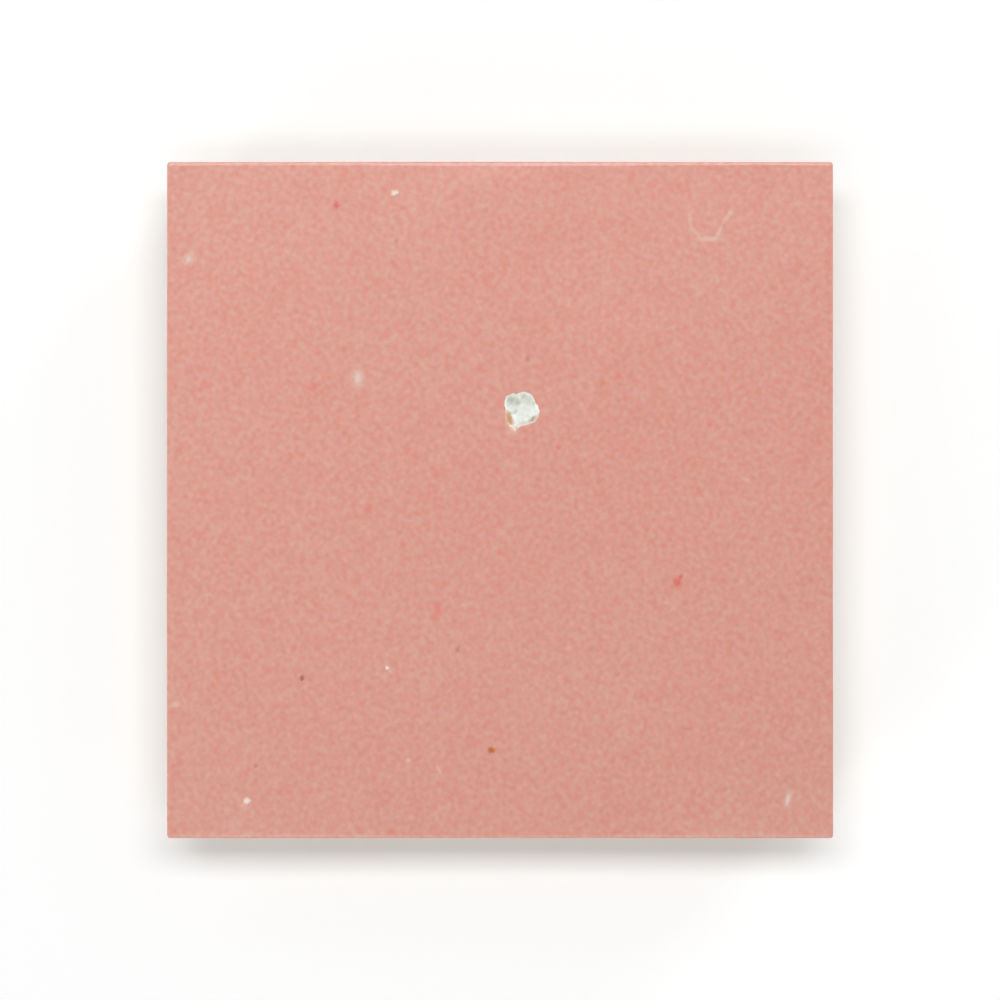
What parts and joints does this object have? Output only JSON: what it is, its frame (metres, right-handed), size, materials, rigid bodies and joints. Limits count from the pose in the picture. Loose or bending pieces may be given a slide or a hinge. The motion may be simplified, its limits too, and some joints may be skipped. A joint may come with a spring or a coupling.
{
  "type": "zellige tile",
  "caption": "Hand-cut square clay wall tile with a pink glazed face, a straight glazed arris and chiselled sides that run in to a flat bed.",
  "frame": {"origin": "middle of the bed, the flat back that is set in mortar, at the middle of the tile's box", "axes": "+Z out of the glazed face, +X across the face, +Y up the face as it is seen from the front"},
  "size_m": [0.1, 0.1014, 0.0112],
  "materials": {
    "glazed_clay": "gloss"
  },
  "bodies": {
    "root": {"tile": "glazed_clay"}
  },
  "joints": []
}
